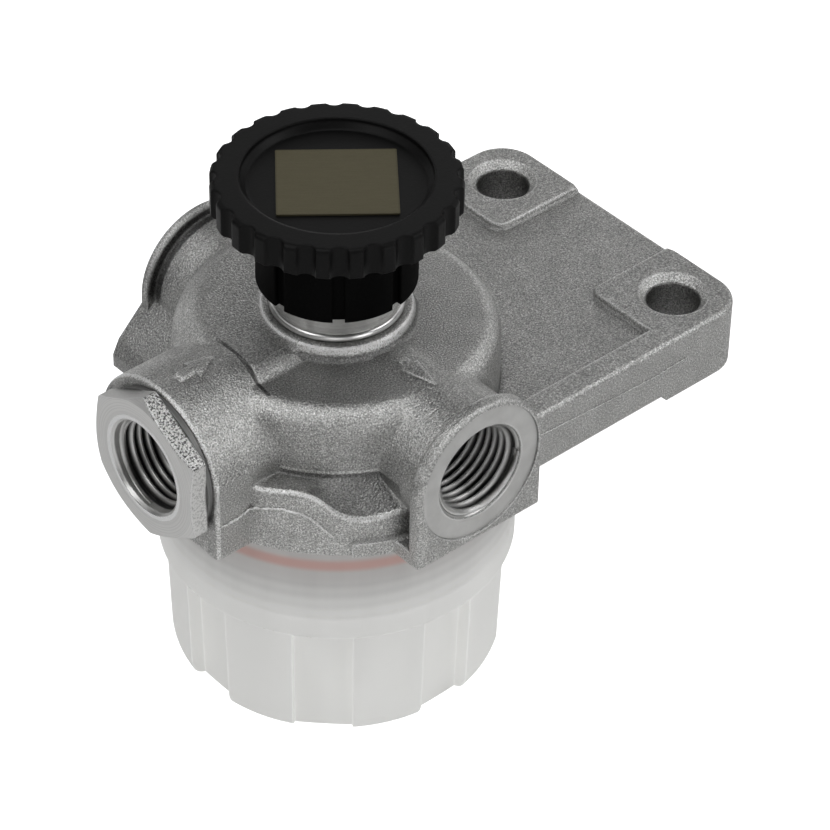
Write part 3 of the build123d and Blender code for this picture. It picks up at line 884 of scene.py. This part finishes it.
@dataclass(frozen=True)
class Piece:
    """A mesh made by the script, dressed and tied to one body."""

    name: str
    finish: Material
    slot: Slot = Slot.CAST
    body: Body = Body.HEAD

    def make(self, points: Sequence[Point], faces: Sequence[Sequence[int]],
             smooth: bool = True) -> bpy.types.Object:
        """Turn points in millimetres into an object that rides its body.

        Args:
            points: corners in the shared frame.
            faces: corner numbers of each face.
            smooth: shade the faces smoothly.

        Returns:
            The finished object.
        """
        mesh = bpy.data.meshes.new(self.name)
        mesh.from_pydata([Vector(p) * MM for p in points], [], faces)
        mesh.validate()
        mesh.polygons.foreach_set("use_smooth", [smooth] * len(mesh.polygons))
        mesh.materials.append(self.finish)
        obj = bpy.data.objects.new(self.name, mesh)
        bpy.context.scene.collection.objects.link(obj)
        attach(obj, self.body.value)
        LOG.info("%s: %d faces on %s", self.name, len(mesh.polygons), self.body.value)
        return obj


def loft(rings: Sequence[Sequence[Point]], closed: bool) -> tuple[list[Point], list[list[int]]]:
    """Join rings of equal length into a tube or a closed hoop.

    Args:
        rings: the sections, each a loop of points.
        closed: join the last ring to the first instead of capping both.

    Returns:
        The points and the faces between them.
    """
    size = len(rings[0])
    points = [p for ring in rings for p in ring]
    faces = []
    for index in range(len(rings) if closed else len(rings) - 1):
        first = index * size
        second = (index + 1) % len(rings) * size
        for side in range(size):
            other = (side + 1) % size
            faces.append([first + side, first + other, second + other, second + side])
    if not closed:
        faces.append(list(range(size))[::-1])
        faces.append([len(points) - size + side for side in range(size)])
    return points, faces


@dataclass(frozen=True, kw_only=True)
class PortThread(Piece):
    """The helical ridge inside a threaded port, whose place has +Z running into the port."""

    place: Matrix
    crest: float = 7.2
    root: float = 8.02
    pitch: float = 1.5
    start: float = 0.9
    length: float = 12.2
    foot_share: float = 0.46
    root_share: float = 0.44
    crest_share: float = 0.09
    steps: int = 60

    def build(self) -> bpy.types.Object:
        """Sweep the ridge's section along its helix.

        Returns:
            The ridge.
        """
        turns = self.length / self.pitch
        rings = []
        for index in range(int(turns * self.steps) + 1):
            turn = index / self.steps
            swell = min(1.0, turn * 2.5, (turns - turn) * 2.5)
            crest = self.root - (self.root - self.crest) * max(swell, 0.02)
            middle = self.start + self.pitch * turn
            angle = 2 * math.pi * turn
            flank = ((self.root + 0.05, self.foot_share), (self.root - 0.1, self.root_share),
                     (crest, self.crest_share))
            section = [(radius, -share) for radius, share in flank] + list(reversed(flank))
            rings.append([tuple(self.place @ Vector((radius * math.cos(angle),
                                                     radius * math.sin(angle),
                                                     middle + share * self.pitch)))
                          for radius, share in section])
        return self.make(*loft(rings, False), False)


class Surface:
    """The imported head's surface, for laying marks on it."""

    def __init__(self, node: str) -> None:
        """Read one node's triangles.

        Args:
            node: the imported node's name.
        """
        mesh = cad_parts[node].data
        corners = [tuple(v.co / MM) for v in mesh.vertices]
        self.tree = BVHTree.FromPolygons(corners, [tuple(p.vertices) for p in mesh.polygons])

    def below(self, x: float, y: float, start: float) -> tuple[Vector, Vector]:
        """The place and normal straight below a point.

        Args:
            x: place along X in millimetres.
            y: place along Y in millimetres.
            start: height from which the surface is looked for.

        Returns:
            The place on the surface and its outward normal.
        """
        place, normal, _, _ = self.tree.ray_cast(Vector((x, y, start)), Vector((0, 0, -1)))
        return place, normal

    def nearest(self, point: Vector) -> tuple[Vector, Vector]:
        """The closest place on the surface and its normal."""
        place, normal, _, _ = self.tree.find_nearest(point)
        return place, normal


@dataclass(frozen=True, kw_only=True)
class FlowArrow(Piece):
    """A plain cast arrow that shows which way the fuel flows, with its heading from +X."""

    tail: tuple[float, float]
    heading: float
    shaft: float = 3.4
    shaft_width: float = 1.7
    head: float = 4.8
    head_width: float = 3.7
    rise: float = 0.4
    flank: float = 0.35
    sink: float = 0.1
    above: float = 90.0

    def half_width(self, along: float) -> float:
        """Find half the arrow's width.

        Args:
            along: distance from its tail.

        Returns:
            The half width.
        """
        if along < self.shaft:
            return self.shaft_width / 2
        return self.head_width / 2 * max(1 - (along - self.shaft) / self.head, 0.04)

    def build(self, surface: Surface) -> bpy.types.Object:
        """Lay the arrow on the surface and raise it with sloping flanks.

        Args:
            surface: the surface that it stands on.

        Returns:
            The arrow.
        """
        stations = [0.0, self.shaft * 0.33, self.shaft * 0.66, self.shaft - 0.01, self.shaft]
        stations += [self.shaft + self.head * step / 6 for step in range(1, 7)]
        sides = (-1.0, -0.99, -0.5, 0.0, 0.5, 0.99, 1.0)
        ends = (0.0, self.shaft + self.head)
        heading = math.radians(self.heading)
        forward = Vector((math.cos(heading), math.sin(heading)))
        left = Vector((-forward.y, forward.x))
        points: list[Point] = []
        for along in stations:
            half = self.half_width(along)
            for side in sides:
                outer = abs(side) == 1.0
                across = math.copysign(half + self.flank, side) if outer else side * half
                spot = Vector(self.tail) + forward * along + left * across
                place, normal = surface.below(spot.x, spot.y, self.above)
                rise = -self.sink if outer or along in ends else self.rise
                points.append(tuple(place + normal * rise))
        width = len(sides)
        faces = [[first, first + 1, first + width + 1, first + width]
                 for row in range(len(stations) - 1)
                 for first in range(row * width, (row + 1) * width - 1)]
        return self.make(points, faces, False)


@dataclass(frozen=True, kw_only=True)
class FlashLine(Piece):
    """The thin broken ridge that a mould's parting leaves along a rough path."""

    path: tuple[Point, ...]
    width: float
    rise: float
    step: float = 0.35
    sink: float = 0.12
    sway: float = 0.12

    def stations(self) -> list[Vector]:
        """Walk along the path at even steps.

        Returns:
            The points along it.
        """
        path = [Vector(corner) for corner in self.path]
        spots = []
        for first, second in zip(path, path[1:]):
            count = max(int((second - first).length / self.step), 1)
            spots += [first.lerp(second, index / count) for index in range(count)]
        return spots + [path[-1]]

    def build(self, surface: Surface) -> bpy.types.Object:
        """Lay the ridge on the surface.

        Args:
            surface: the surface that it stands on.

        Returns:
            The ridge.
        """
        chance = random.Random(self.name)
        spots = [surface.nearest(spot) for spot in self.stations()]
        rings = []
        for index, (place, normal) in enumerate(spots):
            before = spots[max(index - 1, 0)][0]
            after = spots[min(index + 1, len(spots) - 1)][0]
            side = (after - before).cross(normal)
            if side.length < 1e-9:
                continue
            side.normalize()
            ends = min(index, len(spots) - 1 - index, 3) / 3
            half = self.width / 2 * (0.7 + 0.6 * chance.random())
            rise = self.rise * (0.45 + 0.75 * chance.random()) * ends + 0.02
            middle = place + side * (chance.random() - 0.5) * self.sway
            foot, top = normal * -self.sink, normal * rise
            rings.append([tuple(middle + side * half * share + lift) for share, lift in
                          ((-1.0, foot), (-0.3, top), (0.3, top), (1.0, foot))])
        return self.make(*loft(rings, False))


class Dresser:
    """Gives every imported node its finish."""

    def __init__(self) -> None:
        """Build each finish once."""
        self.cast = CastAluminium().build()
        # The flash lines get a lighter copy of the casting: a painted highlight on their ridges.
        self.flash = CastAluminium("cast_flash", tone=0.72, rounding=0.2).build()
        self.hex = HexagonSteel("plated_hexagon", tone=0.84, roughness=0.38, across=True).build()
        self.steel = TurnedSteel("turned_steel", tone=0.85, roughness=0.24, rounding=0.5).build()
        self.satin = TurnedSteel("satin_steel", tone=0.95, rounding=0.2).build()
        self.plastic = Moulding("black_plastic", (0.003, 0.003, 0.003), 0.42, grain=0.5,
                                depth=0.03, rounding=0.6, specular=0.17,
                                matt_below=89.1).build()
        # The washer is toned dark: partly its own grey, partly painted shade in the gap between
        # the hexagon and the boss.
        self.washer = TurnedSteel("grey_washer", tone=0.26, roughness=0.5, across=True).build()
        self.rubber = Moulding("black_rubber", (0.012, 0.012, 0.012), 0.6).build()
        self.red = Moulding("red_rubber", (0.62, 0.05, 0.04), 0.5).build()
        self.white = Moulding("white_plastic", (0.78, 0.78, 0.76), 0.45).build()
        self.brass = TurnedSteel("brass_insert", tone=0.6).build()
        self.mesh = WovenMesh().build()
        self.label = LabelFoil().build()
        self.bowl = MilkyPlastic().build()

    def dress(self) -> None:
        """Put the finishes on the nodes."""
        finishes = {
            "pump_head": self.cast, "inlet_adapter": self.hex, "adapter_seal": self.washer,
            "inlet_valve": self.rubber, "outlet_valve": self.rubber,
            "outlet_valve_plate": self.steel, "pump_barrel": self.steel,
            "barrel_seal": self.rubber, "rod_bush": self.white, "rod_seal": self.rubber,
            "piston": self.white, "piston_seal": self.rubber, "piston_rod": self.steel,
            "piston_nut": self.steel, "knob": self.plastic, "knob_insert": self.brass,
            "knob_label": self.label, "filter_bowl": self.bowl, "bowl_seal": self.red,
            "strainer_cage": self.white, "strainer_mesh": self.mesh,
            "strainer_seal": self.rubber,
        }
        for name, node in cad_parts.items():
            node.data.materials.clear()
            node.data.materials.append(finishes[name])
            LOG.info("%s: %s", name, finishes[name].name)


@dataclass(frozen=True)
class CameraSize:
    """The photograph's camera, in millimetres and degrees."""

    target: Point = (10.71, -7.21, 45.02)
    distance: float = 600.0
    azimuth: float = -41.89
    elevation: float = 39.65
    roll: float = 1.08
    lens: float = 158.70
    sensor: float = 36.0


@dataclass(frozen=True)
class Softbox:
    """One square soft light, placed by direction from the object."""

    azimuth: float
    elevation: float
    power: float
    width: float = 0.55
    distance: float = 1.2


def toward(azimuth: float, elevation: float) -> Vector:
    """Turn a direction in degrees, from -Y towards +X and up, into a vector.

    Args:
        azimuth: turn about Z.
        elevation: rise above the floor.

    Returns:
        The direction, of length one.
    """
    turn, lift = math.radians(azimuth), math.radians(elevation)
    level = math.cos(lift)
    return Vector((math.sin(turn) * level, -math.cos(turn) * level, math.sin(lift)))


@dataclass(frozen=True)
class Studio:
    """Camera, floor and soft lights."""

    camera: CameraSize
    lights: tuple[Softbox, ...]
    floor_height: float = -0.2
    bounce_height: float = -0.6
    ground_reach: float = 6.0
    ground_steps: int = 4

    def build(self) -> None:
        """Set the studio up."""
        self._camera()
        shown = self._ground("floor", self.floor_height, StudioFloor().build())
        shown.visible_diffuse = shown.visible_glossy = False
        shown.visible_transmission = shown.visible_shadow = False
        self._ground("bounce", self.bounce_height,
                     StudioFloor("studio_bounce", glow=0.0).build())
        for index, light in enumerate(self.lights):
            self._softbox(f"softbox_{index}", light)
        world = bpy.data.worlds.new("studio")
        world.use_nodes = True
        back = world.node_tree.nodes["Background"]
        back.inputs["Color"].default_value = (1.0, 1.0, 1.0, 1.0)
        back.inputs["Strength"].default_value = 0.0
        scene = bpy.context.scene
        scene.world = world
        scene.view_settings.view_transform = "Standard"

    def _camera(self) -> None:
        """Place the camera that the photograph was taken from."""
        size = self.camera
        roll = math.radians(size.roll)
        back = toward(size.azimuth, size.elevation)
        right = toward(size.azimuth + 90.0, 0.0)
        up = back.cross(right)
        level = right * math.cos(roll) + up * math.sin(roll)
        plumb = up * math.cos(roll) - right * math.sin(roll)
        data = bpy.data.cameras.new("camera")
        data.sensor_width = size.sensor
        data.lens = size.lens
        data.clip_start, data.clip_end = 0.05, 20.0
        camera = bpy.data.objects.new("camera", data)
        place = (Vector(size.target) + back * size.distance) * MM
        camera.matrix_world = Matrix.Translation(place) @ Matrix(
            (level, plumb, back)).transposed().to_4x4()
        bpy.context.scene.collection.objects.link(camera)
        bpy.context.scene.camera = camera

    def _ground(self, name: str, height: float, finish: Material) -> bpy.types.Object:
        """Lay a wide level sheet under the bowl.

        Args:
            name: its name.
            height: its height in millimetres.
            finish: its material.

        Returns:
            The sheet.
        """
        reach, steps = self.ground_reach, self.ground_steps
        points = [(reach * (2 * i / steps - 1), reach * (2 * j / steps - 1), height * MM)
                  for i in range(steps + 1) for j in range(steps + 1)]
        faces = [(i * (steps + 1) + j, (i + 1) * (steps + 1) + j,
                  (i + 1) * (steps + 1) + j + 1, i * (steps + 1) + j + 1)
                 for i in range(steps) for j in range(steps)]
        mesh = bpy.data.meshes.new(name)
        mesh.from_pydata(points, [], faces)
        mesh.materials.append(finish)
        sheet = bpy.data.objects.new(name, mesh)
        bpy.context.scene.collection.objects.link(sheet)
        return sheet

    def _softbox(self, name: str, light: Softbox) -> None:
        """Hang one softbox that looks at the object.

        Args:
            name: the light's name.
            light: its size and direction.
        """
        way = toward(light.azimuth, light.elevation)
        data = bpy.data.lights.new(name, "AREA")
        data.shape = "SQUARE"
        data.size = light.width
        data.energy = light.power
        lamp = bpy.data.objects.new(name, data)
        lamp.visible_camera = False
        lamp.location = Vector(self.camera.target) * MM + way * light.distance
        lamp.rotation_mode = "QUATERNION"
        lamp.rotation_quaternion = way.to_track_quat("Z", "Y")
        bpy.context.scene.collection.objects.link(lamp)


@dataclass(frozen=True, kw_only=True)
class BarrelFlange(Piece):
    """The flange at the foot of the barrel's guide, whose rounded edge catches the light."""

    radius: float = 10.35
    reach: float = 0.6
    foot: float = 70.03
    height: float = 1.1
    edge: float = 0.15
    inset: float = 0.3
    steps: int = 6
    sides: int = 144

    def build(self) -> bpy.types.Object:
        """Turn the flange's section about the pump's axis.

        Returns:
            The flange.
        """
        inner = self.radius - self.inset
        section = [(inner, self.foot), (self.radius + self.reach - self.edge, self.foot)]
        for index in range(self.steps + 1):
            turn = math.pi / 2 * index / self.steps
            rise = self.edge + (self.height - self.edge) * math.sin(turn)
            section.append((self.radius + self.reach * math.cos(turn), self.foot + rise))
        section.append((inner, self.foot + self.height))
        rings = []
        for index in range(self.sides):
            angle = 2 * math.pi * index / self.sides
            rings.append([(radius * math.cos(angle), radius * math.sin(angle), height)
                          for radius, height in section])
        return self.make(*loft(rings, True))


@dataclass(frozen=True)
class Ports:
    """The threads of the three ports and the cast marks beside them."""

    dresser: Dresser
    seam: tuple[Point, ...] = (
        (-34.6, -13.0, 50.1), (-30.8, -13.0, 50.4), (-28.4, -13.7, 51.2), (-26.1, -17.6, 52.3),
        (-24.4, -19.9, 52.0), (-23.4, -21.1, 51.2), (-21.7, -22.8, 48.9), (-20.1, -24.3, 46.5))
    wall: tuple[Point, ...] = ((17.0, -30.15, 51.9), (30.4, -30.15, 51.1),
                               (42.8, -30.15, 50.5), (50.8, -30.15, 50.9))

    def threads(self) -> None:
        """Cut the threads of the three ports."""
        for name, x, y, turn, axis in (("outlet_thread", 0.0, -PORT_FACE, -90, "X"),
                                       ("spare_thread", 0.0, PORT_FACE, 90, "X"),
                                       ("inlet_thread", -INLET_FACE, 0.0, 90, "Y")):
            place = Matrix.Translation((x, y, PORT_HEIGHT))
            place = place @ Matrix.Rotation(math.radians(turn), 4, axis)
            thread = PortThread(name, self.dresser.cast, place=place)
            if axis == "Y":
                thread = replace(thread, finish=self.dresser.hex, slot=Slot.STEEL, start=1.8,
                                 length=11.0)
            thread.build()

    def marks(self) -> None:
        """Raise the arrows and the flash lines."""
        surface = Surface("pump_head")
        cast, flash = self.dresser.cast, self.dresser.flash
        FlowArrow("inlet_arrow", cast, tail=(-31.8, 1.2), heading=3.0).build(surface)
        FlowArrow("outlet_arrow", cast, tail=(-0.45, -15.7), heading=270.0, shaft=2.4, head=6.6,
                  head_width=3.4, rise=0.2, flank=0.2).build(surface)
        FlashLine("head_seam", flash, path=self.seam, width=0.6, rise=0.36).build(surface)
        FlashLine("plate_seam", flash, path=self.wall, width=0.35, rise=0.14).build(surface)


def main() -> None:
    """Build the looks in order."""
    logging.basicConfig(level=logging.INFO, format="%(message)s")
    dresser = Dresser()
    dresser.dress()
    ports = Ports(dresser)
    ports.threads()
    ports.marks()
    BarrelFlange("barrel_flange", dresser.satin, Slot.STEEL).build()
    lights = (
        Softbox(45.0, 38.0, 2.75), Softbox(0.0, 88.0, 2.2), Softbox(262.0, 65.0, 1.4),
        Softbox(270.0, 38.0, 2.2), Softbox(135.0, 38.0, 0.5), Softbox(0.0, 12.0, 1.95),
        Softbox(135.0, 12.0, 1.0), Softbox(90.0, 38.0, 1.0), Softbox(180.0, 38.0, 0.5),
        Softbox(315.0, 12.0, 0.9), Softbox(180.0, 12.0, 0.7), Softbox(225.0, 38.0, 0.6),
        Softbox(90.0, 12.0, 0.5),
    )
    Studio(CameraSize(), lights).build()


if __name__ == "__main__":
    main()
